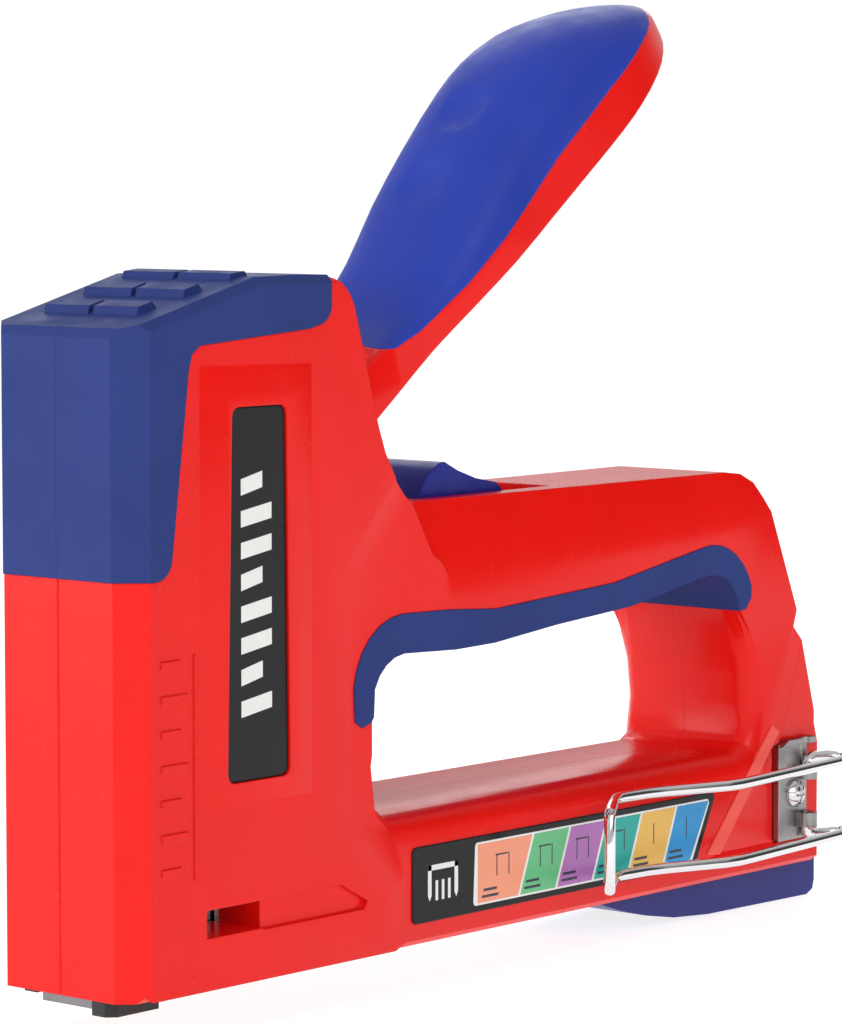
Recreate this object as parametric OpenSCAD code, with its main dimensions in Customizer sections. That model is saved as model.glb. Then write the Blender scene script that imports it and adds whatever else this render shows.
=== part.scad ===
// Heavy-duty hand staple gun: shell halves, squeeze lever, plunger, pull-out magazine and belt clip.
// Millimetres. The nose faces -X, the handle runs back along +X, up is +Z, the belt clip is on -Y.
// z = 0 is the bottom of the nosepiece and y = 0 the seam between the shell halves.

/* [Body] */
// Half width of the shell over the handle frame
frame_half = 18; // [17:0.1:20]
// How far the head's side stands out from the frame's side
head_step = 1; // [0.4:0.1:1.6]
// Height of the raised panel on the head's side
panel_rise = 1; // [0.5:0.1:2]
// Half width of the flat front face
nose_half = 14.1; // [13:0.1:15.5]
// Half width of the hollow in the head
cavity_half = 15.2; // [15:0.1:15.6]
// Thickness of the soft caps and inserts
skin = 2.4; // [1.6:0.1:3]

/* [Lever] */
// Angle of the raised lever's underside above level
lever_angle = 37.1; // [30:0.1:45]
// Half width of the lever between the shell halves
hub_half = 14.6; // [14:0.1:14.8]
// Thickness of the lever's soft pad
pad_skin = 2.4; // [1.8:0.1:3]
// Half width of the lever's paddle
paddle_half = 17.2; // [16:0.1:18]
// Radius of the lever's pivot pin
pin_r = 4; // [3:0.1:5]
// Radial clearance of the lever's bushing on its pin
pin_play = 0.05; // [0.02:0.01:0.1]
// Length of the lifting arms, pivot to tip
arm_length = 32; // [28:0.5:34]

/* [Driver] */
// Outer radius of the main spring
spring_r = 8.2; // [6:0.1:8.4]
// Wire diameter of the main spring
spring_wire = 1.8; // [1.2:0.1:2]
// Turns of the main spring
spring_turns = 9; // [6:1:10]
// Thickness of the driver blade
blade_t = 1.2; // [0.9:0.05:1.4]

/* [Thumb button] */
// Half width of the button
button_half = 7.7; // [5:0.1:8]

/* [Magazine] */
// Half width of the staple crown
crown_half = 5.6; // [5:0.1:5.8]
// Leg length of the loaded staples
leg_length = 8; // [6:1:12]
// Length of the loaded staple strip
strip_length = 62; // [10:1:62]
// Half width of the magazine latch
latch_half = 13.2; // [10:0.1:13.8]

/* [Belt clip] */
// Diameter of the clip wire
wire_d = 2.4; // [1.6:0.1:2.6]
// How far the clip's wire axis stands out from the frame's side at the bracket
clip_out = 1.6; // [1.5:0.05:1.8]

/* [Hidden] */
$fn = 48;
head_half = frame_half + head_step;
panel_half = head_half + panel_rise;
pivot = [52, 106];
lever_foot = [70.6, 105.5];
arm_drop = 19;
arm_tip = [pivot.x - arm_length * cos(arm_drop), pivot.y - arm_length * sin(arm_drop)];
wire_r = wire_d / 2;
roof_slope = atan(8.7 / 33);
pin_end = cavity_half + 1.8;
red = [0.87, 0.12, 0.1];
blue = [0.16, 0.2, 0.5];
black = [0.15, 0.15, 0.16];
steel = [0.7, 0.71, 0.73];

// ---- helpers ----

// Prism of an outline given in x and z, between two y values.
module slab(pts, y0, y1) {
    translate([0, y1, 0]) rotate([90, 0, 0]) linear_extrude(y1 - y0) polygon(pts);
}

// Box from its two corners.
module box(a, b) {
    translate(a) cube([b.x - a.x, b.y - a.y, b.z - a.z]);
}

// Cylinder along y between two y values.
module pin_y(x, z, r, y0, y1) {
    translate([x, y1, z]) rotate([90, 0, 0]) cylinder(r = r, h = y1 - y0);
}

// Points of an arc in a plane, angles in degrees.
function arc(cx, cz, r, a0, a1, n) =
    [for (i = [0:n]) [cx + r * cos(a0 + (a1 - a0) * i / n), cz + r * sin(a0 + (a1 - a0) * i / n)]];

// Tube swept along a helix round z, closed at both ends.
module coil(r, wire, z0, z1, turns, per_turn = 20, sides = 8) {
    steps = turns * per_turn;
    pts = [for (i = [0:steps]) for (j = [0:sides - 1])
        let (a = 360 * i / per_turn, b = 360 * j / sides, q = r + wire / 2 * cos(b))
        [q * cos(a), q * sin(a), z0 + (z1 - z0) * i / steps + wire / 2 * sin(b)]];
    walls = [for (i = [0:steps - 1]) for (j = [0:sides - 1])
        [i * sides + j, i * sides + (j + 1) % sides, (i + 1) * sides + (j + 1) % sides, (i + 1) * sides + j]];
    first = [for (j = [0:sides - 1]) sides - 1 - j];
    last = [for (j = [0:sides - 1]) steps * sides + j];
    polyhedron(points = pts, faces = concat(walls, [first, last]), convexity = 8);
}

function unit(v) = v / norm(v);

// Direction of a path at point i.
function heading(path, i) = unit(
    (i > 0 ? unit(path[i] - path[i - 1]) : [0, 0, 0])
    + (i < len(path) - 1 ? unit(path[i + 1] - path[i]) : [0, 0, 0]));

// Round wire through a list of points; no stretch may run along the guide vector.
module bent_wire(path, r, sides = 14) {
    guide = unit([0.3, 0.9, 0.3]);
    count = len(path);
    pts = [for (i = [0:count - 1]) let (t = heading(path, i), u = unit(cross(t, guide)), v = cross(t, u))
        for (j = [0:sides - 1]) path[i] + r * (cos(360 * j / sides) * u + sin(360 * j / sides) * v)];
    walls = [for (i = [0:count - 2]) for (j = [0:sides - 1])
        [i * sides + j, (i + 1) * sides + j, (i + 1) * sides + (j + 1) % sides, i * sides + (j + 1) % sides]];
    first = [for (j = [0:sides - 1]) j];
    last = [for (j = [0:sides - 1]) (count - 1) * sides + sides - 1 - j];
    polyhedron(points = pts, faces = concat(walls, [first, last]), convexity = 8);
}

// Recess for a cross-head driver, cut down from the origin along -y.
module cross_recess(size, depth) {
    for (a = [0, 90]) rotate([0, a, 0]) box([-size / 2, -0.01, -0.45], [size / 2, depth, 0.45]);
}

// ---- outlines in x and z ----

function body_outline(e = 0) = concat(
    [[-e, 3 - e], [-e, 125], [1, 126.4 + e], [34, 135.1 + e], [47, 135.3 + e]],
    arc(52, 125.8, 9.6 + e, 76, 18, 6),
    [[67.9 + e, 106], [70, 100.6], [73.6, 94.8]],
    [[78, 91], [84, 90 + e], [186, 90.2 + e], [191, 89.6 + e], [194.6 + e, 87.6], [196.4 + e, 84.4]],
    [[207.2 + e, 59.8], [217 + e, 27], [217.5 + e, 21], [216.8 + e, 5], [215 + e, 3 - e]]);

cap_outline = concat([[-5, 80.5]], arc(6.2, 84.7, 4.2, -90, -5, 5),
    [[14.9, 118.5], [15.8, 121.6], [18, 123.2], [48, 125.4], [51.6, 126.2]],
    arc(50.6, 129.8, 3.6, -60, 10, 4), [[54.4, 145], [-5, 145]]);

hole_top = concat(arc(76.8, 51.4, 9.8, 175, 92, 5),
    [[92, 60.6], [104, 60.9], [124, 62.9], [148, 64.6], [164, 67.2], [172, 68.7]],
    arc(176.6, 59.2, 9.8, 86, 10, 6));

hole_outline = concat(arc(74, 37, 7, 270, 180, 5), hole_top,
    [[188.4, 54], [190.2, 47], [191, 40]], arc(186, 35, 5, 0, -90, 4));

// The soft insert's outline on the side, from the hole's edge outwards.
insert_outline = concat([[67.4, 49.6], [66.6, 48.6], [64, 47.8], [61.9, 49.2], [61.6, 55.8]],
    arc(76.4, 54.2, 14.8, 160, 92, 5),
    [[90, 68.7], [104.4, 67.7], [143, 70], [165, 73.7]],
    arc(176.5, 60.4, 15, 101, 20, 7),
    [[190.4, 63], [188.6, 60.9], [186.2, 60.6]],
    [for (i = [len(hole_top) - 2:-1:1]) hole_top[i]]);

// The insert's layer on the hole's upper edge.
insert_lip = concat([[67.4, 49.6], [64.4, 50.6]], arc(76.8, 51.4, 12.4, 172, 92, 5),
    [[92, 63.2], [104, 63.5], [124, 65.5], [148, 67.2], [164, 69.8], [172, 71.3]],
    arc(176.6, 59.2, 12.4, 86, 10, 6), [[186.2, 60.6]],
    [for (i = [len(hole_top) - 2:-1:1]) hole_top[i]]);

window = [[19.4, 13], [35, 13], [35, 18.3], [19.4, 18.3]];
groove = [[34.9, 12.7], [63.6, 12.7], [64.6, 14.2], [57, 18.3], [34.9, 18.3]];
screw_spots = [[33, 123], [42, 78], [42, 36], [152, 80], [200, 58], [120, 24.6], [187, 24.6]];

// ---- shell ----

// Outer body of one side, e mm larger than nominal all round.
module side_body(e, half) {
    intersection() {
        slab(body_outline(e), -half, 0);
        linear_extrude(150, center = false) polygon([[-e, 0], [-e, -nose_half], [half - nose_half - e, -half],
            [214.5, -half], [218 + e, -half + 3], [218 + e, 0]]);
    }
}

// Hollows of one side: head, spring loft, magazine way, handle and rear post.
module side_hollow() {
    slab([[3.5, 54], [3.5, 119.6], [26, 127.1], [34, 129.6], [48, 130.4], [55, 128.4], [63.5, 106],
        [63.5, 54]], -cavity_half, 0.1);
    slab([[8, 22], [8, 50], [60, 50], [60, 22]], -cavity_half, 0.1);
    slab([[2.5, 3], [2.5, 62], [6.6, 62], [6.6, 18.6], [220, 18.6], [220, -1], [2.5, -1]], -7.2, 0.1);
    slab([[84, 73], [84, 86.3], [150, 86.3], [150, 74]], -9.5, 0.1);
    slab([[160, 78], [160, 84.5], [190, 83.8], [193, 78]], -9.5, 0.1);
    slab([[196, 34], [194, 50], [204.5, 50], [209.5, 34]], -12, 0.1);
    // way in for the lever at the back of the head
    slab([[52, 140], [52, 120], [58, 93.2], [90, 93.2], [90, 140]], -hub_half - 0.6, 0.1);
    // slot for the thumb button
    slab([[91, 85], [91, 95], [134, 95], [134, 85]], -button_half - 0.5, 0.1);
}

// Flared edge round the back and bottom of the hand hole.
module hole_flare() {
    steps = [[4.8, 0], [2.6, 0.9], [1, 2.4], [-0.02, 4.9]];
    for (i = [0:2]) hull() for (s = [steps[i], steps[i + 1]])
        slab([[70, 57], [67.2 - s[1] / 8, 40], [68.5 - s[1] / 8, 33 - s[1] / 2], [72.8, 30.2 - s[1] * 0.9],
            [187, 30.1 - s[1]], [190.2 + s[1] * 0.8, 32 - s[1] * 0.7], [191 + s[1], 39],
            [190 + s[1] * 0.95, 47.5], [188.3 + s[1] * 0.6, 54.4], [186.4, 61]],
            s[0] - frame_half - 0.01, s[0] - frame_half);
}

// Steps in the side: the frame is lower than the head, and its bottom corner lower still.
module side_steps() {
    top = -head_half - 0.01;
    low = -frame_half;
    hull() {
        slab([[78.4, 90], [60.6, 75.6], [60.6, 29.8], [75.5, 18.6], [230, 18.6], [230, 100], [84, 100]],
            low - 0.01, low);
        slab([[75.4, 92.4], [56, 77.8], [56, 28], [73, 14.8], [230, 14.8], [230, 104], [80, 104]],
            top - 0.2, top);
    }
    hull() {
        slab([[77.2, 1], [77.2, 30], [230, 30], [230, 1]], low - 0.01, low);
        slab([[72.8, 1], [72.8, 26], [230, 26], [230, 1]], top - 0.2, top);
    }
    hull() {
        slab([[206.5, 33.6], [180.2, 8.9], [226, 8.9], [226, 33.6]], low + 0.59, low + 0.6);
        slab([[203.4, 36.4], [175.4, 8], [226, 8], [226, 36.4]], low - 0.01, low);
    }
}

// Planes cut off the shell: handle top, rear edge, roof edges, seam and front edges.
module edge_cuts() {
    translate([84, -12, 90]) rotate([68.8, 0, -1.3]) linear_extrude(12)
        polygon([[-6.4, 0.6], [-6.8, 12], [140, 12], [140, -22], [12, -22], [4, -13], [1.4, -11.6]]);
    translate([208.2, -frame_half, 55]) rotate([0, -72.2, 0]) rotate([45, 0, 0])
        cube([70, 2.8, 2.8], center = true);
    roof_cut(1.3, head_half, 0);
    rotate([0, 0, 45]) cube([0.5, 0.5, 300], center = true);
    translate([14, 0, 3]) rotate([45, 0, 0]) cube([500, 0.5, 0.5], center = true);
    translate([100, -frame_half, 3]) rotate([45, 0, 0]) cube([300, 1.6, 1.6], center = true);
}

// Chamfers along the upper edges of the head, a mm wide at half width h, on a roof raised by e.
module roof_cut(a, h, e) {
    side = a * sqrt(2);
    translate([17.5, -h, 130.75 + e]) rotate([0, -roof_slope, 0]) rotate([45, 0, 0])
        cube([36, side, side], center = true);
    translate([47, -h, 135.3 + e]) rotate([45, 0, 0]) cube([27, side, side], center = true);
    translate([-e, 0, 126.5 + e]) rotate([0, 30, 0]) cube([1.6, 80, 1.6], center = true);
}

// Screw bosses of one side, from the seam to the wall.
module screw_bosses() {
    for (p = screw_spots) pin_y(p.x, p.y, 3.9, -cavity_half - 0.5, 0);
}

// Raised panel on the head's side.
module side_panel() {
    hull() {
        slab([[18, 119.4], [18, 37.2], [48.6, 37.2], [48.6, 118.8]], -head_half - 0.01, -head_half + 0.5);
        slab([[23.8, 114.2], [23.4, 41], [45.4, 41], [45.4, 114]], -panel_half, -panel_half + 0.01);
    }
}

// Graduation marks beside the front edge.
module side_marks() {
    for (i = [0:6])
        box([7.4, -head_half - 0.3, 26 + i * 6.4], [12.6 + (i % 2) * 1.8, -head_half + 0.2, 27.4 + i * 6.4]);
    box([16, -head_half - 0.3, 24.4], [16.7, -head_half + 0.2, 66.4]);
}

// One shell half without its screws, drawn on the -y side.
module shell_half() {
    difference() {
        union() {
            difference() {
                side_body(0, head_half);
                side_steps();
                hole_flare();
                side_hollow();
                edge_cuts();
            }
            side_panel();
            side_marks();
            intersection() {
                screw_bosses();
                slab(body_outline(-1.5), -cavity_half - 0.5, 0);
            }
            bearing();
        }
        slab(hole_outline, -30, 1);
        // room for the caps and inserts
        intersection() {
            cap_layer();
            slab(cap_outline, -30, 1);
        }
        slab(insert_outline, -30, -frame_half + skin);
        slab(insert_lip, -30, 1);
        // pocket for the glossy plate
        slab(plate_outline(0.15), -panel_half - 1, -panel_half + 1.4);
        // staple window, its groove, and the shallow slanted groove above it
        slab(window, -30, 1);
        slab(groove, -30, -head_half + 1.1);
        // pivot pin, nosepiece pocket
        pin_y(pivot.x, pivot.y, pin_r, -pin_end, 1);
        box([2.5, -10.6, -1], [15, 1, 10]);
        // lever's sweep past the upper bosses stays clear
        slab(arc(pivot.x, pivot.y, 23.6, 0, 360, 40), -hub_half - 0.6, 1);
    }
}

// Boss that carries the pivot pin's end.
module bearing() {
    pin_y(pivot.x, pivot.y, 9, -cavity_half - 0.5, -cavity_half + 0.2);
}

function plate_outline(e) = let (r = 1.6 + e) concat(
    arc(27.4, 109.8, r, 180, 90, 3), arc(38.8, 109.8, r, 90, 0, 3),
    arc(39.6, 43.2, r, 0, -90, 3), arc(26, 43.2, r, -90, -180, 3));

// The layer that the soft cap takes up, slightly proud of the shell.
module cap_layer() {
    difference() {
        side_body(0.3, head_half + 0.3);
        translate([skin, 0, -skin]) side_body(0, head_half - skin);
    }
}

module housing_left() {
    color(red) difference() {
        shell_half();
        for (p = screw_spots) pin_y(p.x, p.y, 1.5, -8, 0.1);
        // bracket screw and the shallow seat of its bracket
        pin_y(206.5, 19, 1.5, -30, -9);
        on_side() {
            box([199.6, -3, 8.6], [211.4, 0.9, 30.2]);
            box([200.4, -3, 29.4], [213.2, 0.6, 31.3]);
        }
    }
}

module housing_right() {
    color(red) mirror([0, 1, 0]) difference() {
        shell_half();
        for (p = screw_spots) {
            pin_y(p.x, p.y, 1.5, -20, 0.1);
            pin_y(p.x, p.y, 3.3, -22, -frame_half + 4.4);
        }
    }
}

module cap_half() {
    color(blue) {
        difference() {
            intersection() {
                cap_layer();
                slab(cap_outline, -30, 0);
            }
            roof_cut(1.5, head_half + 0.3, 0.3);
        }
        // grip pads across the roof
        for (i = [0:2]) translate([8.6 + i * 11.2, -12 - i, min(128.6 + i * 2.95, 134.4)])
            rotate([0, -roof_slope * (i < 2 ? 1 : 0.4), 0])
            slab([[0, -0.3], [1.1, 1.5], [4.8, 1.5], [5.9, -0.3]], 0, 11.4 + i);
    }
}

module cap_left() { cap_half(); }
module cap_right() { mirror([0, 1, 0]) cap_half(); }

module grip_half() {
    color([0.13, 0.15, 0.38]) union() {
        slab(insert_outline, -frame_half - 0.2, -frame_half + skin);
        slab(insert_lip, -frame_half + skin, 0);
    }
}

module grip_left() { grip_half(); }
module grip_right() { mirror([0, 1, 0]) grip_half(); }

module side_plate() {
    color(black) slab(plate_outline(0), -panel_half + 0.5, -panel_half + 1.4);
}

module plate_left() { side_plate(); }
module plate_right() { mirror([0, 1, 0]) side_plate(); }

module size_label() {
    color(black) slab([[79, 22], [78.7, 8], [79.6, 7.3], [170.4, 7.3],
        [171.6, 8], [178.2, 20.6], [177.6, 22.4], [79.6, 22.6]], -frame_half - 0.3, -frame_half);
}

module nosepiece() {
    color(black) difference() {
        union() {
            box([1, -12.2, 0], [13.5, 12.2, 3]);
            box([2.5, -10.6, 3], [15, 10.6, 10]);
        }
        box([0, -7.2, -1], [8, 7.2, 11]);
        box([0, -7.2, 2.2], [16, 7.2, 11]);
        // the far foot is set back from the front edge
        box([0, 6, -1], [8, 13, 2.4]);
        for (s = [-1, 1]) translate([1, 12.2 * s, 0]) rotate([0, 0, 45]) cube([2.4, 2.4, 20], center = true);
        pin_y(10, 6.5, 1.6, -12, 12);
    }
}

module guide_plate() {
    color(steel) difference() {
        box([2.5, -7.2, 0.8], [3.6, 7.2, 58]);
        for (z = [30, 50]) translate([0, 0, z]) rotate([0, 90, 0]) cylinder(r = 1.6, h = 10);
    }
}

module staple_channel() {
    color(steel) difference() {
        box([5.4, -7.2, 4], [213, 7.2, 18.6]);
        box([5, -6.2, 3], [214, 6.2, 17.6]);
        slab(window, -10, 10);
        for (x = [60, 100, 140, 180]) translate([x, 0, 10]) cylinder(r = 2, h = 12);
    }
}

module spring_seat() {
    color(black) {
        slab([[6, 117], [24.4, 117], [24.4, 126.56], [6, 120.43]], -8.4, 8.4);
        translate([15, 0, 113]) cylinder(r = 5.4, h = 4);
    }
}

module bumper() {
    color([0.1, 0.1, 0.1]) box([7.2, -11, 54], [25, 11, 61.6]);
}

module lever_pin() {
    color(steel) pin_y(pivot.x, pivot.y, pin_r, -pin_end, pin_end);
}

module housing_screws() {
    color(steel) for (p = screw_spots) difference() {
        union() {
            pin_y(p.x, p.y, 1.5, -8, frame_half - 4.3);
            pin_y(p.x, p.y, 3, frame_half - 4.4, frame_half - 2.2);
        }
        translate([p.x, frame_half - 2.2, p.y]) mirror([0, 1, 0]) cross_recess(3.6, 1.2);
    }
}

// Places children on the frame's side, where y = 0 is the side itself.
module on_side() {
    translate([0, -frame_half, 0]) children();
}

module clip_bracket() {
    color(steel) on_side() difference() {
        union() {
            box([200.6, -0.4, 8.8], [211, 0.8, 30]);
            slab([[200.6, 29.6], [203, 31], [213, 31], [213, 29.6]], -1.4, 0.4);
            box([199.8, -1, 9.4], [201, 0.6, 29.6]);
            translate([209.5, -clip_out, 22]) cylinder(r = 2.3, h = 3);
            translate([209.5, -clip_out, 11.4]) cylinder(r = 2.3, h = 3.2);
        }
        translate([209.5, -clip_out, 0]) cylinder(r = wire_r + 0.06, h = 40);
        pin_y(206.5, 19, 1.6, -4, 2);
    }
}

module clip_screw() {
    color(steel) on_side() difference() {
        union() {
            pin_y(206.5, 19, 1.5, -0.4, 9);
            intersection() {
                pin_y(206.5, 19, 3, -2.6, -0.4);
                translate([206.5, 1.4, 19]) sphere(r = 3.9);
            }
        }
        translate([206.5, -2.6, 19]) cross_recess(3.4, 1.2);
    }
}

// ---- lever, in its own frame: s along the underside, n square to it ----

module in_lever_frame() {
    translate([lever_foot.x, 0, lever_foot.y]) rotate([0, -lever_angle, 0]) children();
}

// Sections of the lever: place along it, height of the crown, half width, height of the shoulder.
sections = [[-16, 11, hub_half, 9.6], [0, 11.2, hub_half, 9.6], [12, 10.4, hub_half, 8.6],
    [24, 9.6, hub_half, 6], [38, 12.8, paddle_half - 1.2, 3.6], [52, 17.6, paddle_half, 5],
    [66, 21.2, paddle_half, 8], [80, 23.6, paddle_half, 10.4], [90, 24, paddle_half, 11],
    [100, 22.4, paddle_half - 0.4, 10.4], [110, 18.8, paddle_half - 2, 8.4],
    [119, 14.4, paddle_half - 4.8, 6], [126, 10, paddle_half - 8.8, 4.2],
    [130, 6.6, paddle_half - 12.6, 2.8], [131.6, 4, 1.6, 1.8]];

// Smooth curve through a, b, c and d, a share k of the way from b to c.
function through(a, b, c, d, k) =
    0.5 * (2 * b + (c - a) * k + (2 * a - 5 * b + 4 * c - d) * k * k + (3 * b - a - 3 * c + d) * k * k * k);

// The sections with one more between each two.
function finer(list) = let (last = len(list) - 1) [for (i = [0:2 * last])
    let (j = floor(i / 2)) i % 2 == 0 ? list[j]
        : through(list[max(j - 1, 0)], list[j], list[j + 1], list[min(j + 2, last)], 0.5)];

// Outline of a section with t mm taken off, as points in space.
function section_ring(q, t) = let (
        w = max(q[2] - t, 0.4),
        top = max(q[1] - t, 1),
        rise = max(top - min(q[3], top - 0.8), 0.4),
        s = q[0] > 0 ? q[0] * (1 - t / 131.6) : q[0])
    concat([[s, w, 0]], [for (a = [0:12:180])
        [s, w * sign(90 - a) * pow(abs(cos(a)), 0.8), top - rise + rise * pow(sin(a), 0.8)]], [[s, -w, 0]]);

// Solid through rings of equal numbers of points.
module loft(rings) {
    count = len(rings[0]);
    last = len(rings) - 1;
    walls = [for (i = [0:last - 1]) for (j = [0:count - 1]) let (k = (j + 1) % count)
        each [[i * count + j, (i + 1) * count + j, i * count + k],
            [i * count + k, (i + 1) * count + j, (i + 1) * count + k]]];
    front = [for (j = [0:count - 1]) j];
    back = [for (j = [0:count - 1]) last * count + count - 1 - j];
    polyhedron(points = [for (ring = rings) each ring], faces = concat(walls, [front, back]), convexity = 6);
}

// The lever's outer shape with t mm taken off all round.
module paddle(t) {
    loft([for (q = finer(sections)) section_ring(q, t)]);
}

// Where the soft pad reaches down to on the paddle's sides.
pad_edge = [[12, 40], [12, 9.6], [15, 7.4], [23, 5.4], [38, 4.8], [52, 5.8], [75, 8.6], [97, 9.4], [112, 8.6],
    [122, 7.6], [140, 7.2], [140, 40]];

module lever_shell() {
    inner = hub_half - 2;
    color(red) difference() {
        union() {
            in_lever_frame() difference() {
                paddle(0);
                difference() {
                    slab(pad_edge, -30, 30);
                    paddle(pad_skin);
                }
            }
            pin_y(pivot.x, pivot.y, 11.5, -hub_half - 0.15, hub_half + 0.15);
            // curved shield that closes the gap in the head as the lever turns
            slab(concat([[pivot.x, pivot.y]], arc(pivot.x, pivot.y, 22.6, 36, 112, 12)), -hub_half + 0.1,
                hub_half - 0.1);
        }
        // hollow underside
        in_lever_frame() {
            slab([[-40, -5], [-40, 7.6], [30, 7], [40, 7.6], [40, -5]], -inner, inner);
            slab([[30, -6], [30, 6.6], [50, 9.4], [82, 15.8], [97, 15], [97, -6]], -paddle_half + 2.8,
                paddle_half - 2.8);
            slab([[90, -7], [90, 14], [104, 11.4], [112, 7], [117, 4], [117, -7]], -8, 8);
        }
        slab(concat([[pivot.x, pivot.y]], arc(pivot.x, pivot.y, 20.6, 34.6, 116, 12)), -inner, inner);
        pin_y(pivot.x, pivot.y, 13, -inner + 0.1, inner - 0.1);
        pin_y(pivot.x, pivot.y, 6, -20, 20);
    }
}

module lever_pad() {
    color([0.15, 0.22, 0.62]) in_lever_frame() difference() {
        intersection() {
            paddle(0);
            slab(pad_edge, -30, 30);
        }
        paddle(pad_skin);
        // two thumb hollows
        for (p = [[47.7, 40.2], [69.2, 45.1]]) translate([p.x, 0, p.y]) sphere(r = 24);
    }
}

module lever_core() {
    color(steel) difference() {
        for (s = [-1, 1]) {
            y0 = s < 0 ? -10.9 : 8.9;
            pin_y(pivot.x, pivot.y, 9, y0, y0 + 2);
            pin_y(arm_tip.x, arm_tip.y, 3.2, y0, y0 + 2);
            u = [sin(arm_drop), -cos(arm_drop)];
            slab([pivot + 8.2 * u, pivot - 8.2 * u, arm_tip - 3.2 * u, arm_tip + 3.2 * u], y0, y0 + 2);
            in_lever_frame() slab([[-14, 2.6], [-14, 6.6], [14, 6.6], [24, 6.2], [34, 6.5], [60, 8.4],
                [60, 4.4], [34, 1.4], [-4, 1.4]], y0, y0 + 2);
        }
        pin_y(pivot.x, pivot.y, 6, -20, 20);
    }
    color(steel) in_lever_frame() slab([[18, 4.4], [18, 6], [32, 6], [32, 4.4]], -8.9, 8.9);
}

module lever_bushing() {
    color([0.72, 0.55, 0.25]) difference() {
        pin_y(pivot.x, pivot.y, 6, -hub_half, hub_half);
        pin_y(pivot.x, pivot.y, pin_r + pin_play, -20, 20);
    }
}

module return_spring() {
    color(steel) {
        translate([pivot.x, 3.4, pivot.y]) rotate([90, 0, 0]) coil(7, 1.4, 0, 6.8, 4, 20, 6);
    }
}

// ---- plunger ----

module plunger() {
    color([0.5, 0.5, 0.52]) difference() {
        union() {
            box([5.1, -13.4, 62], [25, 13.4, 74]);
            for (s = [-1, 1]) {
                y0 = s < 0 ? -13.4 : 11.4;
                slab([[16, 74], [25.6, 74], [25.6, 103], [18.4, 103], [16, 100.6]], y0, y0 + 2);
                // shelf over the lifting arm's tip
                y1 = s < 0 ? -13.4 : 8.8;
                slab([[18.4, arm_tip.y + 3.6], [21.2, arm_tip.y + 3.6], [25.6, arm_tip.y + 7.2],
                    [25.6, 103], [18.4, 103]], y1, y1 + 4.6);
            }
        }
        translate([15, 0, 70.5]) difference() {
            cylinder(r = 9, h = 10);
            translate([0, 0, -1]) cylinder(r = 5.4, h = 4.6);
        }
        translate([0, 0, 66]) for (y = [-3.6, 3.6]) translate([0, y, 0]) rotate([0, 90, 0])
            cylinder(r = 1.4, h = 12);
    }
}

module driver_blade() {
    color(steel) difference() {
        box([5.1 - blade_t, -5.4, 1.6], [5.1, 5.4, 73]);
        for (y = [-3.6, 3.6]) translate([0, y, 66]) rotate([0, 90, 0]) cylinder(r = 1.4, h = 12);
    }
}

module blade_rivets() {
    color(steel) for (y = [-3.6, 3.6]) translate([5.1 - blade_t, y, 66]) rotate([0, 90, 0])
        cylinder(r = 1.4, h = 8);
}

module main_spring() {
    color(steel) translate([15, 0, 0])
        coil(spring_r - spring_wire / 2, spring_wire, 70.5 + spring_wire / 2 + 0.02, 117 - spring_wire / 2 - 0.02,
            spring_turns);
}

// ---- thumb button ----

module slide_button() {
    color([0.1, 0.13, 0.48]) slab([[92.4, 86], [92.4, 89.2], [93, 90.6], [94.4, 93],
        [96.6, 95.2], [99.3, 96.7], [100.8, 96.8], [104.8, 94.9], [110.5, 93],
        [117, 91.8], [118.8, 90.4], [118.8, 86]], -button_half, button_half);
}

module slide_bar() {
    color(steel) difference() {
        box([88, -8.6, 84.8], [124, 8.6, 86]);
        translate([121, 0, 80]) cylinder(r = 1.5, h = 10);
    }
}

// ---- magazine ----

module magazine_core() {
    color(steel) difference() {
        union() {
            box([5.5, -4.4, 5], [213, 4.4, 16.2]);
            box([9, -5.8, 3.8], [213, 5.8, 5]);
        }
        box([5, -3.4, 6], [214, 3.4, 15.2]);
        box([62, -1.2, 15], [202, 1.2, 17]);
    }
}

module magazine_latch() {
    color([0.17, 0.19, 0.52]) difference() {
        union() {
            slab([[144, 2.6], [146, 1.6], [152, -0.4], [160, -2.4], [170, -4.2], [182, -5.1], [218.6, -5.6],
                [220.8, -4.6], [221.4, -2.6], [221.4, 2.4], [218, 2.6]], -latch_half, latch_half);
            box([160, -5.6, 2.5], [202, 5.6, 3.8]);
            box([213, -5.8, 4.2], [218.2, 5.8, 16.6]);
            slab([[218, 1], [218, 19], [220.4, 19], [221.4, 17.6], [221.4, 1]], -9, 9);
        }
        // finger hollow under the latch
        slab([[164, -7], [164, -1.4], [198, -2.2], [198, -7]], -9.6, 9.6);
    }
}

module latch_pad() {
    color(black) {
        slab([[164, -1.4], [164, -2.4], [198, -3.2], [198, -2.2]], -9.6, 9.6);
        for (i = [0:5]) box([168 + i * 5, -8.6, -3.8], [170 + i * 5, 8.6, -2.3]);
    }
}

module spring_tape() {
    color(steel) box([7, -2.6, 6], [72, 2.6, 6.3]);
}

module staples() {
    color([0.8, 0.8, 0.82]) difference() {
        box([5.4, -crown_half, 16.8 - leg_length], [5.4 + strip_length, crown_half, 16.8]);
        box([5, -crown_half + 0.7, 0], [80, crown_half - 0.7, 16.2]);
    }
}

// ---- pusher ----

module pusher() {
    color([0.35, 0.35, 0.37]) difference() {
        union() {
            box([67.8, -5.8, 8.4], [84, 5.8, 17.2]);
            box([71, -0.8, 13.2], [82, 0.8, 17]);
        }
        box([67, -4.7, 8], [85, 4.7, 13.2]);
        for (s = [-1, 1]) box([67, s < 0 ? -4.7 : 0.8, 8], [85, s < 0 ? -0.8 : 4.7, 16.5]);
        box([67, -4.7, 12], [71, 4.7, 16.5]);
        box([82, -4.7, 12], [85, 4.7, 16.5]);
    }
}

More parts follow.
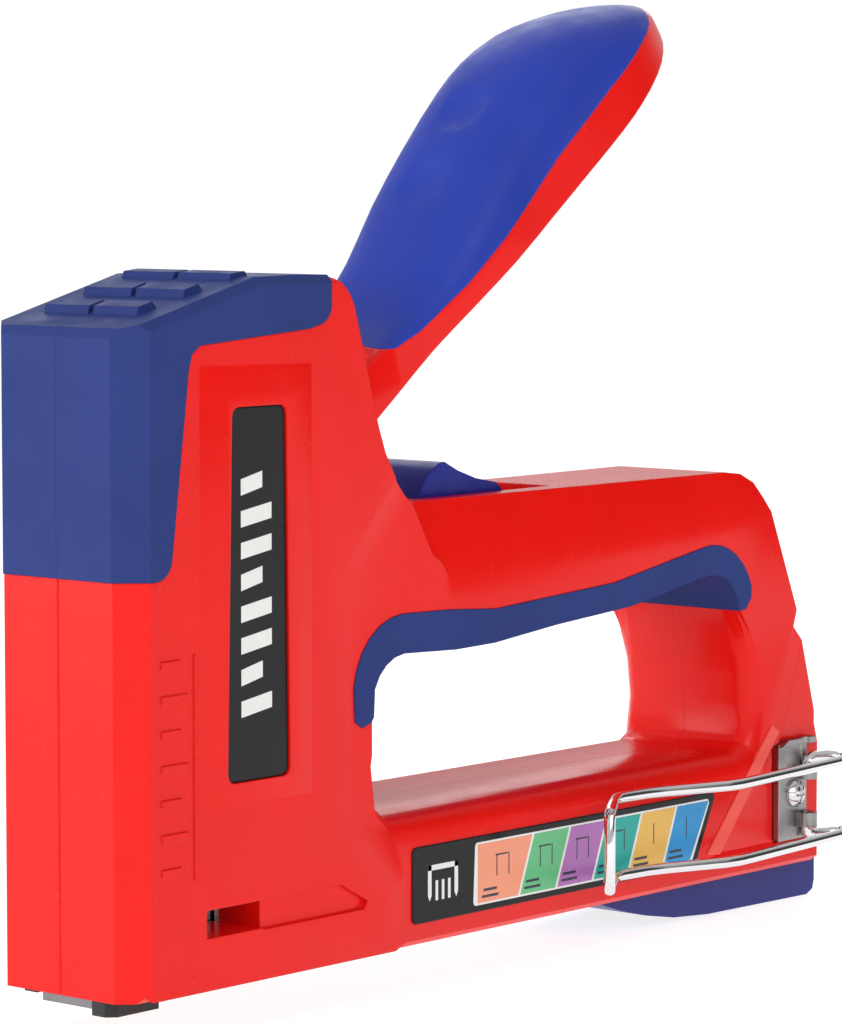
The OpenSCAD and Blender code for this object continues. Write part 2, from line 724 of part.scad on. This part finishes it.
module pusher_spring() {
    color(steel) difference() {
        pin_y(76.5, 10, 3, -2.6, 2.6);
        for (r = [2.5, 1.6]) difference() {
            pin_y(76.5, 10, r, -3, 3);
            pin_y(76.5, 10, r - 0.4, -4, 4);
            box([76, -5, 10], [77, 5, 14]);
        }
    }
}

// ---- belt clip ----

// One arm from the back loop to the tip, in x and y, with y measured from the frame's side.
clip_side = [[217.2, -5.2, 0], [217, -6.4, 0], [216, -7.4, 0], [213, -8, 0], [175, -11.4, 0],
    [171, -11.6, 0], [167, -11, 0], [153, -5.8, 0], [148, -4.6, 0], [140, -4.1, 0], [136, -5.2, 0],
    [125, -13.2, 0]];
// The bend from an arm into the upright bar at the tip, for the upper arm.
clip_corner = [[123.4, -14.3, 25.7], [122.6, -14.9, 24.9], [122.2, -15.2, 23.6]];
// The way out of the bracket's barrel into the upper arm's back loop.
clip_root = [[209.5, -clip_out, 22.6], [209.5, -clip_out, 25.2], [209.8, -clip_out - 0.1, 26.2],
    [211, -clip_out - 0.4, 26.7], [214.4, -clip_out - 1.2, 26.6], [216.4, -clip_out - 2.3, 26.3]];

module clip_wire() {
    top_z = 26;
    low_z = 9.8;
    up = [for (p = clip_side) [p.x, p.y, top_z]];
    down = [for (i = [len(clip_side) - 1:-1:0]) [clip_side[i].x, clip_side[i].y, low_z]];
    turn = [for (i = [len(clip_corner) - 1:-1:0])
        [clip_corner[i].x, clip_corner[i].y, top_z + low_z - clip_corner[i].z]];
    tail = [[216.4, -clip_out - 2.3, 9.7], [214.4, -clip_out - 1.2, 9.6], [211, -clip_out - 0.4, 9.6],
        [209.8, -clip_out - 0.1, 10], [209.5, -clip_out, 11], [209.5, -clip_out, 14]];
    color(steel) on_side() bent_wire(concat(clip_root, up, clip_corner, turn, down, tail), wire_r);
}

housing_left();
housing_right();
cap_left();
cap_right();
grip_left();
grip_right();
plate_left();
plate_right();
size_label();
nosepiece();
guide_plate();
staple_channel();
spring_seat();
bumper();
lever_pin();
housing_screws();
clip_bracket();
clip_screw();
lever_shell();
lever_pad();
lever_core();
lever_bushing();
return_spring();
plunger();
driver_blade();
blade_rivets();
main_spring();
slide_button();
slide_bar();
magazine_core();
magazine_latch();
latch_pad();
spring_tape();
staples();
pusher();
pusher_spring();
clip_wire();
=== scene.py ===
"""Looks for the staple gun: materials, main spring, label, plate bars, studio and camera.

Lengths are written in millimetres through mm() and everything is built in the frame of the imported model:
the nose faces -X, the handle runs back along +X, +Z is up and the belt clip is on the -Y side.
"""
import math

import bmesh
import bpy
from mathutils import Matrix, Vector

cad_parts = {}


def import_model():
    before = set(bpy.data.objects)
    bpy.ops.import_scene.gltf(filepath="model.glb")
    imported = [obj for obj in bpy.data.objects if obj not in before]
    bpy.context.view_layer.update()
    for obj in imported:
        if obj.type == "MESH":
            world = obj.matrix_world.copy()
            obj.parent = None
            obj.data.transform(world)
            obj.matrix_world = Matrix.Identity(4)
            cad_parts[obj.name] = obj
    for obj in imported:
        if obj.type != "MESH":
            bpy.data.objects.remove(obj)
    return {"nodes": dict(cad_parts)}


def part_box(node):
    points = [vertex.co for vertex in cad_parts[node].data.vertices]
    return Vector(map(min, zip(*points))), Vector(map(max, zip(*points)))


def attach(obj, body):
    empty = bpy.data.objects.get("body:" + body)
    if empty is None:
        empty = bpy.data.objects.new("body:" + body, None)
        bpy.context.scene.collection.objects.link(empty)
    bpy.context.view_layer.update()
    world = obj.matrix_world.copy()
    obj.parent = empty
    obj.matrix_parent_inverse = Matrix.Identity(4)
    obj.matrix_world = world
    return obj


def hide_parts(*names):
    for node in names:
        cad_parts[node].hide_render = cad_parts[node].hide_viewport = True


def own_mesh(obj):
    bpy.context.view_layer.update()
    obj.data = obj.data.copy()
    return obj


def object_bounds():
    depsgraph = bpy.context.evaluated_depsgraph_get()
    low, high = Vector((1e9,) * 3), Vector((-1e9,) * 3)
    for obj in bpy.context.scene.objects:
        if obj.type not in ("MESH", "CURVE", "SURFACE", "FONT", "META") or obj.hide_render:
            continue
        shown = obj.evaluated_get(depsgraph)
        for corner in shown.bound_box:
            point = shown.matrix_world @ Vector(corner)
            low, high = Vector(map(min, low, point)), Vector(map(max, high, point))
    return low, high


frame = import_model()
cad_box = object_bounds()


def mm(*values):
    """Millimetres to metres, as a vector for three values."""
    scaled = [v / 1000 for v in values]
    return Vector(scaled) if len(scaled) > 1 else scaled[0]


# ---- materials ----


class Graph:
    """Short names for building one material's nodes."""

    def __init__(self, name):
        self.material = bpy.data.materials.new(name)
        self.material.use_nodes = True
        self.nodes = self.material.node_tree.nodes
        self.links = self.material.node_tree.links
        self.shader = self.nodes["Principled BSDF"]
        self.place = self.nodes.new("ShaderNodeTexCoord").outputs["Object"]

    def add(self, kind, **sockets):
        node = self.nodes.new(kind)
        for name, value in sockets.items():
            node.inputs[name.replace("_", " ")].default_value = value
        return node

    def noise(self, scale, detail=3.0, stretch=(1, 1, 1)):
        """Noise in object space, scale in features per metre."""
        mapping = self.nodes.new("ShaderNodeMapping")
        mapping.inputs["Scale"].default_value = stretch
        self.links.new(self.place, mapping.inputs["Vector"])
        node = self.add("ShaderNodeTexNoise", Scale=scale, Detail=detail)
        self.links.new(mapping.outputs["Vector"], node.inputs["Vector"])
        return node.outputs["Fac"]

    def spread(self, value, low, high):
        """The value's middle half stretched to run from low to high."""
        node = self.nodes.new("ShaderNodeMapRange")
        node.inputs["From Min"].default_value = 0.3
        node.inputs["From Max"].default_value = 0.7
        node.inputs["To Min"].default_value = low
        node.inputs["To Max"].default_value = high
        self.links.new(value, node.inputs["Value"])
        return node.outputs["Result"]

    def ramp(self, value, first, second):
        node = self.nodes.new("ShaderNodeValToRGB")
        node.color_ramp.elements[0].position = 0.3
        node.color_ramp.elements[0].color = (*first, 1)
        node.color_ramp.elements[1].position = 0.7
        node.color_ramp.elements[1].color = (*second, 1)
        self.links.new(value, node.inputs["Fac"])
        return node.outputs["Color"]

    def relief(self, height, depth, edge):
        """Bump of a depth in metres over edges rounded to a radius in metres."""
        bevel = self.nodes.new("ShaderNodeBevel")
        bevel.samples = 6
        bevel.inputs["Radius"].default_value = edge
        bump = self.nodes.new("ShaderNodeBump")
        bump.inputs["Distance"].default_value = depth
        self.links.new(bevel.outputs["Normal"], bump.inputs["Normal"])
        self.links.new(height, bump.inputs["Height"])
        self.links.new(bump.outputs["Normal"], self.shader.inputs["Normal"])

    def mix(self, factor, first, second):
        node = self.nodes.new("ShaderNodeMix")
        node.data_type = "RGBA"
        self.links.new(factor, node.inputs["Factor"])
        for socket, colour in ((node.inputs[6], first), (node.inputs[7], second)):
            if isinstance(colour, tuple):
                socket.default_value = (*colour, 1)
            else:
                self.links.new(colour, socket)
        return node.outputs[2]


def tint(colour, factor):
    return tuple(min(1, c * factor) for c in colour)


def moulded(name, colour, rough, grain=900, depth=0.00001, gloss=0.4, edge=0.0004, coat=0.0, vary=0.06):
    """Moulded plastic or rubber: slight mottling, uneven gloss and a fine surface grain."""
    g = Graph(name)
    patch = g.noise(45, 2.0)
    g.links.new(g.ramp(patch, tint(colour, 1 - vary), tint(colour, 1 + vary)), g.shader.inputs["Base Color"])
    g.links.new(g.spread(g.noise(160, 4.0), rough * 0.85, rough * 1.2), g.shader.inputs["Roughness"])
    g.shader.inputs["Specular IOR Level"].default_value = gloss
    g.shader.inputs["Coat Weight"].default_value = coat
    g.shader.inputs["Coat Roughness"].default_value = 0.08
    g.relief(g.noise(grain, 3.0), depth, edge)
    return g.material


def metal(name, colour, rough, brushed=(1, 1, 1), scale=1500, depth=0.000006, edge=0.0003, vary=0.12):
    """Bare metal with a grain drawn out along the axis whose brushed value is small."""
    g = Graph(name)
    grain = g.noise(scale, 4.0, brushed)
    g.shader.inputs["Metallic"].default_value = 1.0
    g.links.new(g.ramp(grain, tint(colour, 1 - vary), tint(colour, 1 + vary)), g.shader.inputs["Base Color"])
    g.links.new(g.spread(grain, rough * 0.7, rough * 1.4), g.shader.inputs["Roughness"])
    g.relief(grain, depth, edge)
    return g.material


def srgb(red, green, blue):
    """A screen colour of 0 to 255 a channel as linear light."""
    return tuple((c / 255) ** 2.2 for c in (red, green, blue))


RED = (0.80, 0.008, 0.005)
NAVY = (0.027, 0.045, 0.185)
BLUE = (0.020, 0.045, 0.360)
BLACK = (0.013, 0.013, 0.015)

red_plastic = moulded("red_gloss_plastic", RED, 0.24, grain=500, depth=0.000006, gloss=0.2, coat=0.05,
                      vary=0.03)
navy_rubber = moulded("navy_soft_rubber", NAVY, 0.52, grain=2600, depth=0.00003, gloss=0.08)
blue_rubber = moulded("blue_soft_rubber", BLUE, 0.42, grain=2600, depth=0.00002, gloss=0.2)
button_plastic = moulded("blue_button_plastic", (0.010, 0.018, 0.24), 0.3, gloss=0.2)
latch_plastic = moulded("blue_latch_plastic", (0.026, 0.032, 0.20), 0.34, gloss=0.2)
black_gloss = moulded("black_gloss_plastic", BLACK, 0.16, depth=0.000002, gloss=0.16, coat=0.05)
black_matte = moulded("black_matte_plastic", BLACK, 0.55)
black_rubber = moulded("black_rubber", (0.02, 0.02, 0.02), 0.7, grain=2600, depth=0.00003)
black_steel = moulded("black_coated_steel", (0.012, 0.012, 0.013), 0.35, grain=1800, depth=0.00001)
plain_steel = metal("brushed_steel", (0.60, 0.60, 0.61), 0.28, brushed=(0.06, 1, 1))
upright_steel = metal("brushed_steel_upright", (0.34, 0.33, 0.33), 0.30, brushed=(1, 1, 0.06))
dark_steel = metal("blackened_steel", (0.22, 0.22, 0.23), 0.38)
spring_steel = metal("spring_steel", (0.42, 0.42, 0.43), 0.30)
polished_steel = metal("polished_steel", (0.75, 0.75, 0.76), 0.12, depth=0.000002)
chrome = metal("chrome_wire", (0.80, 0.80, 0.81), 0.07, depth=0.000001, edge=0.0001, vary=0.03)
bronze = metal("sintered_bronze", (0.55, 0.32, 0.12), 0.4)

NODE_MATERIALS = {
    red_plastic: ["housing_left", "housing_right", "lever_shell"],
    navy_rubber: ["cap_left", "cap_right", "grip_left", "grip_right"],
    blue_rubber: ["lever_pad"],
    button_plastic: ["slide_button"],
    latch_plastic: ["magazine_latch"],
    black_gloss: ["plate_left", "plate_right", "size_label"],
    black_matte: ["spring_seat"],
    black_rubber: ["bumper", "latch_pad"],
    black_steel: ["nosepiece"],
    plain_steel: ["staple_channel", "magazine_core", "slide_bar", "lever_core", "spring_tape",
                  "driver_blade"],
    upright_steel: ["clip_bracket"],
    dark_steel: ["plunger", "pusher", "guide_plate"],
    spring_steel: ["main_spring", "return_spring", "pusher_spring"],
    polished_steel: ["clip_screw", "housing_screws", "lever_pin", "blade_rivets", "staples"],
    chrome: ["clip_wire"],
    bronze: ["lever_bushing"],
}


CREASE = 32
ROUND_CREASE = 48
WELD_REACH = 0.000002


def dress(node, material, crease=CREASE):
    """Gives a CAD node its material and smooth shading up to the crease angle, in degrees."""
    obj = frame["nodes"][node]
    obj.data.materials.clear()
    obj.data.materials.append(material)
    obj.data.polygons.foreach_set("use_smooth", [True] * len(obj.data.polygons))
    weld = obj.modifiers.new("weld", "WELD")
    weld.merge_threshold = WELD_REACH
    split = obj.modifiers.new("crease", "EDGE_SPLIT")
    split.split_angle = math.radians(crease)
    split.use_edge_sharp = False
    return obj


for material, nodes in NODE_MATERIALS.items():
    for node in nodes:
        dress(node, material)
# the lever's lofted skins are round, so only their real corners stay sharp
for node in ("lever_pad", "lever_shell"):
    frame["nodes"][node].modifiers["crease"].split_angle = math.radians(ROUND_CREASE)

# ---- main spring, printed label and plates ----


def place(obj, material, body="housing"):
    """Gives a piece its material and the body that carries it."""
    obj.data.materials.append(material)
    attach(obj, body)
    return obj


def tiles(name, outlines, front, depth, soften=0.00012):
    """Thin tiles facing -Y, one for each outline of x and z in metres, all in one object."""
    bm = bmesh.new()
    for outline in outlines:
        near = [bm.verts.new((x, front, z)) for x, z in outline]
        far = [bm.verts.new((x, front + depth, z)) for x, z in outline]
        bm.faces.new(near)
        bm.faces.new(list(reversed(far)))
        for i in range(len(near)):
            j = (i + 1) % len(near)
            bm.faces.new((near[j], near[i], far[i], far[j]))
    bmesh.ops.recalc_face_normals(bm, faces=bm.faces)
    mesh = bpy.data.meshes.new(name)
    bm.to_mesh(mesh)
    bm.free()
    obj = bpy.data.objects.new(name, mesh)
    bpy.context.collection.objects.link(obj)
    bevel = obj.modifiers.new("soften", "BEVEL")
    bevel.width = soften
    bevel.segments = 2
    bevel.limit_method = "ANGLE"
    return obj


def rounded(corners, radius, steps=5):
    """Outline with its corners rounded, from a list of x, z corners in order."""
    points = []
    for i, corner in enumerate(corners):
        corner = Vector(corner)
        before = (Vector(corners[i - 1]) - corner).normalized()
        after = (Vector(corners[(i + 1) % len(corners)]) - corner).normalized()
        half = before.angle(after) / 2
        reach = radius / math.tan(half)
        centre = corner + (before + after).normalized() * (radius / math.sin(half))
        start, end = corner + before * reach - centre, corner + after * reach - centre
        for k in range(steps + 1):
            spoke = start.lerp(end, k / steps).normalized() * radius
            points.append(tuple(centre + spoke))
    return points


def printed(name, colour, rough=0.25):
    """Smooth printed ink."""
    return moulded(name, colour, rough, grain=300, depth=0.000001, gloss=0.45, edge=0.0001, vary=0.04)


paper_white = printed("print_white", (0.80, 0.80, 0.78))
print_dark = printed("print_dark", (0.02, 0.03, 0.05))
CHIP_COLOURS = [(238, 150, 118), (96, 186, 126), (172, 108, 178),
                (22, 162, 152), (228, 180, 86), (26, 142, 205)]


def side_label():
    """The size label: black card, white frame, six coloured chips with staple pictograms."""
    low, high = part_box("size_label")
    left, right, bottom, top = low.x, high.x, low.z, high.z
    lean = (right - left) * 0.075
    face = low.y
    card = rounded([(left, bottom), (right - lean, bottom), (right, top), (left, top)], mm(1.2))
    body = tiles("label_card", [card], face, high.y - low.y)
    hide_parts("size_label")
    place(body, black_gloss)

    margin = mm(1.7)
    start = left + mm(19.5)
    end = right - mm(2.2)
    base, crest = bottom + margin, top - margin
    frame_outline = rounded([(start - mm(1.0), base - mm(0.4)), (end - lean * 0.86, base - mm(0.4)),
                             (end, crest + mm(0.4)), (start - mm(0.4), crest + mm(0.4))], mm(0.8))
    raise_by = mm(0.02)
    place(tiles("label_frame", [frame_outline], face - raise_by, mm(0.05)), paper_white)

    slant = mm(4.6)
    first = mm(18)
    chip_w = (end - start - first) / (len(CHIP_COLOURS) - 1)
    line = mm(0.35)
    staples, prints = [], []
    for i, colour in enumerate(CHIP_COLOURS):
        x0 = start if i == 0 else start + first + (i - 1) * chip_w
        x1 = start + first + i * chip_w
        lower0 = x0 if i == 0 else x0 - slant
        lower1 = x1 - slant
        if i == len(CHIP_COLOURS) - 1:
            x1, lower1 = end - line, end - lean * 0.86 - line
        outline = [(lower0 + line, base), (lower1 - line, base), (x1 - line, crest), (x0 + line, crest)]
        chip = tiles(f"label_chip_{i + 1}", [outline], face - raise_by * 2, mm(0.05))
        place(chip, printed(f"print_chip_{i + 1}", srgb(*colour)))
        # four chips show a staple and the last two a nail
        middle = (x0 + x1 + lower0 + lower1) / 4
        leg, bar = mm(4.4), mm(0.32)
        half = mm(1.9) if i < 4 else 0
        pic_top = crest - mm(2.6)
        if half:
            staples.append([(middle - half, pic_top - bar), (middle + half, pic_top - bar),
                            (middle + half, pic_top), (middle - half, pic_top)])
        for side in ((-1, 1) if half else (0,)):
            x = middle + side * half + mm(0.4)
            staples.append([(x - bar / 2, pic_top - leg), (x + bar / 2, pic_top - leg),
                            (x + bar / 2, pic_top), (x - bar / 2, pic_top)])
        for row in range(2):
            z = base + mm(0.9 + row * 1.3)
            x = lower0 + mm(1.6 + row * 0.5)
            wide, tall = mm(5.2 - row), mm(0.55)
            prints.append([(x, z), (x + wide, z), (x + wide + mm(0.1), z + tall), (x + mm(0.1), z + tall)])
    place(tiles("label_pictures", staples, face - raise_by * 3, mm(0.05), mm(0.02)), print_dark)
    place(tiles("label_rules", prints, face - raise_by * 3, mm(0.05), mm(0.02)), print_dark)
    # a staple with three upright bars between its legs on the black end of the card
    x, z = left + mm(9.2), (bottom + top) / 2
    wide, tall, thick = mm(4.6), mm(7.2), mm(1.1)
    mark = [[(x - wide, z + tall / 2 - thick), (x + wide, z + tall / 2 - thick), (x + wide, z + tall / 2),
             (x - wide, z + tall / 2)]]
    for side in (-1, 1):
        edge = x + side * (wide - thick / 2)
        inner, outer = edge - thick / 2, edge + thick / 2
        foot = z - tall / 2
        mark.append([(edge, foot), (outer, foot + thick), (outer, z + tall / 2), (inner, z + tall / 2),
                     (inner, foot + thick)])
    for k in (-1, 0, 1):
        mark.append([(x + mm(k * 1.9 - 0.4), z - tall / 2), (x + mm(k * 1.9 + 0.4), z - tall / 2),
                     (x + mm(k * 1.9 + 0.4), z + mm(0.4)), (x + mm(k * 1.9 - 0.4), z + mm(0.4))])
    place(tiles("label_mark", mark, face - raise_by, mm(0.05), mm(0.02)), paper_white)


def plate_bars(side):
    """White slanted bars on the glossy plate of one side, -1 near or 1 far."""
    low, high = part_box("plate_left" if side < 0 else "plate_right")
    width, height = high.x - low.x, high.z - low.z
    x0, x1 = low.x + width * 0.24, high.x - width * 0.26
    count, margin, printed_share = 8, 0.17, 0.68
    pitch = height * printed_share / count
    rise, thick = pitch * 0.22, pitch * 0.52
    bars = []
    for i in range(count):
        z = low.z + height * margin + i * pitch
        inset = (x1 - x0) * (0.30 if i % 3 == 1 else 0.0)
        bars.append([(x0, z), (x1 - inset, z + rise), (x1 - inset, z + rise + thick), (x0, z + thick)])
    face = low.y if side < 0 else high.y
    depth, soften = mm(0.06), mm(0.03)
    obj = tiles(f"plate_bars_{'left' if side < 0 else 'right'}", bars, face - depth / 2, depth, soften)
    place(obj, paper_white)


def painted_highlight_stripe():
    """Painted highlight: a thin raised strip of paler red along the slanted step ahead of the clip's bracket,
    standing in for the light that the step catches.
    """
    corners = [(198.4, 34.8), (201, 33), (179.6, 8.7), (175, 9.2)]
    outline = [(mm(x), mm(z)) for x, z in corners]
    # the paler red is a painted highlight for the light on the step, not a colour of the housing
    pale = moulded("painted_highlight_red", (0.90, 0.10, 0.075), 0.3, gloss=0.2, edge=0.0001)
    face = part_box("size_label")[0].y
    place(tiles("painted_highlight_stripe", [outline], face, mm(0.9)), pale)


def main_spring():
    """The coil over the plunger, carried by the plunger. The real spring shortens against the head's roof as
    the plunger lifts, but this coil keeps one fixed shape.
    """
    wire, radius, turns, steps, sides = mm(0.9), mm(7.3), 9, 28, 10
    low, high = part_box("main_spring")
    bottom, rise = low.z + wire, high.z - low.z - 2 * wire
    middle = (low + high) / 2
    lean = math.atan2(rise, 2 * math.pi * radius * turns)
    bm = bmesh.new()
    rings = []
    for i in range(turns * steps + 1):
        angle = 2 * math.pi * i / steps
        out = Vector((math.cos(angle), math.sin(angle), 0))
        along = Vector((-math.sin(angle), math.cos(angle), math.tan(lean))).normalized()
        up = out.cross(along)
        centre = Vector((middle.x, middle.y, bottom + rise * i / (turns * steps))) + out * radius
        rings.append([bm.verts.new(centre + (out * math.cos(t) + up * math.sin(t)) * wire)
                      for t in (2 * math.pi * k / sides for k in range(sides))])
    for near, far in zip(rings, rings[1:]):
        for k in range(sides):
            j = (k + 1) % sides
            bm.faces.new((near[k], near[j], far[j], far[k]))
    bm.faces.new(rings[0])
    bm.faces.new(rings[-1])
    bmesh.ops.recalc_face_normals(bm, faces=bm.faces)
    mesh = bpy.data.meshes.new("main_spring_coil")
    bm.to_mesh(mesh)
    bm.free()
    mesh.polygons.foreach_set("use_smooth", [True] * len(mesh.polygons))
    obj = bpy.data.objects.new("main_spring_coil", mesh)
    bpy.context.collection.objects.link(obj)
    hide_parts("main_spring")
    place(obj, spring_steel, "plunger")
    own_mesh(obj)


main_spring()
side_label()
painted_highlight_stripe()
plate_bars(-1)
plate_bars(1)

# ---- studio ----


def area_light(name, size, direction, distance, power):
    """A soft rectangular light at a distance from the object's middle, facing it."""
    middle = (cad_box[0] + cad_box[1]) / 2
    data = bpy.data.lights.new(name, "AREA")
    data.shape = "RECTANGLE"
    data.size, data.size_y = size
    data.energy = power
    lamp = bpy.data.objects.new(name, data)
    bpy.context.collection.objects.link(lamp)
    lamp.location = middle + Vector(direction).normalized() * distance
    lamp.rotation_euler = (middle - lamp.location).to_track_quat("-Z", "Y").to_euler()
    lamp.visible_camera = False


def floor():
    """Pale floor that glows, so it fades into the white behind with only a faint shadow."""
    low = cad_box[0].z
    reach = 6.0
    mesh = bpy.data.meshes.new("floor")
    mesh.from_pydata([(-reach, -reach, low), (reach, -reach, low), (reach, reach, low), (-reach, reach, low)],
                     [], [(0, 1, 2, 3)])
    obj = bpy.data.objects.new("floor", mesh)
    bpy.context.collection.objects.link(obj)
    g = Graph("pale_floor")
    g.links.new(g.ramp(g.noise(3), (0.44, 0.44, 0.44), (0.48, 0.48, 0.48)), g.shader.inputs["Base Color"])
    g.shader.inputs["Roughness"].default_value = 0.7
    g.shader.inputs["Specular IOR Level"].default_value = 0.2
    g.shader.inputs["Emission Color"].default_value = (1, 1, 1, 1)
    g.shader.inputs["Emission Strength"].default_value = 0.80
    obj.data.materials.append(g.material)


def world():
    """White behind the object; for light and reflections a soft room, darker towards +X and -Y."""
    w = bpy.data.worlds.new("studio")
    bpy.context.scene.world = w
    w.use_nodes = True
    nodes, links = w.node_tree.nodes, w.node_tree.links
    nodes.clear()
    out = nodes.new("ShaderNodeOutputWorld")
    mix = nodes.new("ShaderNodeMixShader")
    seen = nodes.new("ShaderNodeBackground")
    seen.inputs["Color"].default_value = (1, 1, 1, 1)
    room = nodes.new("ShaderNodeBackground")
    room.inputs["Strength"].default_value = 0.56
    path = nodes.new("ShaderNodeLightPath")
    place_in_room = nodes.new("ShaderNodeTexCoord")
    towards = nodes.new("ShaderNodeVectorMath")
    towards.operation = "DOT_PRODUCT"
    towards.inputs[1].default_value = Vector((0.80, -0.60, 0.05)).normalized()
    ramp = nodes.new("ShaderNodeValToRGB")
    ramp.color_ramp.elements[0].position = 0.72
    ramp.color_ramp.elements[0].color = (1, 1, 1, 1)
    ramp.color_ramp.elements[1].position = 0.90
    ramp.color_ramp.elements[1].color = (0.10, 0.10, 0.10, 1)
    links.new(place_in_room.outputs["Generated"], towards.inputs[0])
    links.new(towards.outputs["Value"], ramp.inputs["Fac"])
    links.new(ramp.outputs["Color"], room.inputs["Color"])
    links.new(path.outputs["Is Camera Ray"], mix.inputs["Fac"])
    links.new(room.outputs["Background"], mix.inputs[1])
    links.new(seen.outputs["Background"], mix.inputs[2])
    links.new(mix.outputs["Shader"], out.inputs["Surface"])


def camera():
    """Long lens at the height of the head, looking at the nose and the clip side."""
    data = bpy.data.cameras.new("camera")
    data.sensor_width = 36
    data.lens = 150.2
    obj = bpy.data.objects.new("camera", data)
    bpy.context.collection.objects.link(obj)
    heading, pitch = math.radians(40.6), math.radians(-4.8)
    level = math.cos(pitch)
    ahead = Vector((math.cos(heading) * level, math.sin(heading) * level, math.sin(pitch)))
    obj.location = mm(-549.3, -558.7, 158.3)
    obj.rotation_euler = ahead.to_track_quat("-Z", "Y").to_euler()
    bpy.context.scene.camera = obj


world()
floor()
camera()
area_light("softbox_front", (0.9, 1.2), (-1.0, 0.45, 0.25), 1.3, 11)
area_light("softbox_side", (0.9, 0.7), (-0.35, -1.0, 0.45), 1.3, 5)
area_light("softbox_back", (0.8, 0.8), (0.8, 0.7, 0.6), 1.4, 3)

view = bpy.context.scene.view_settings
view.view_transform = "Standard"
view.look = "None"
